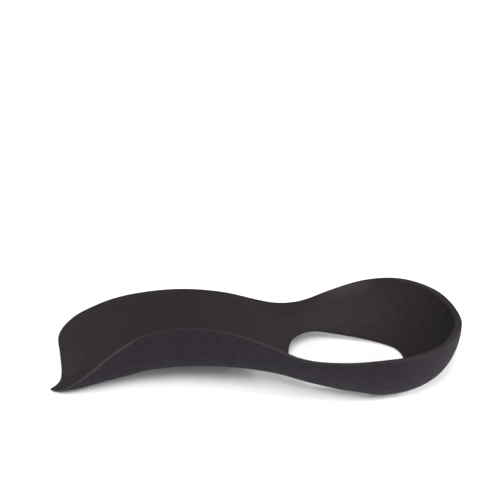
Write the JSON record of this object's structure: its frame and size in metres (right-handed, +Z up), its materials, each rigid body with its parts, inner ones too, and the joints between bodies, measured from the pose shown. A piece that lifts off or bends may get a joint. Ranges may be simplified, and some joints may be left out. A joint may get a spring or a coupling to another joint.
{
  "type": "arch support insole",
  "caption": "Three-quarter length arch support insole for a right foot: moulded foam shell with a deep heel cup, an oval heel hole and a tall flange along the inner arch.",
  "frame": {"origin": "middle of the bounding box in plan, on the floor that the insole lies on", "axes": "+X from the toe end to the heel, -Y towards the inner side of the foot where the arch flange is, +Z up"},
  "size_m": [0.1696, 0.0796, 0.0411],
  "materials": {
    "foam": "matte dense EVA foam, dark charcoal with a slight warm purple tint and a fine closed-cell grain"
  },
  "bodies": {
    "root": {"insole_shell": "foam"}
  },
  "joints": []
}
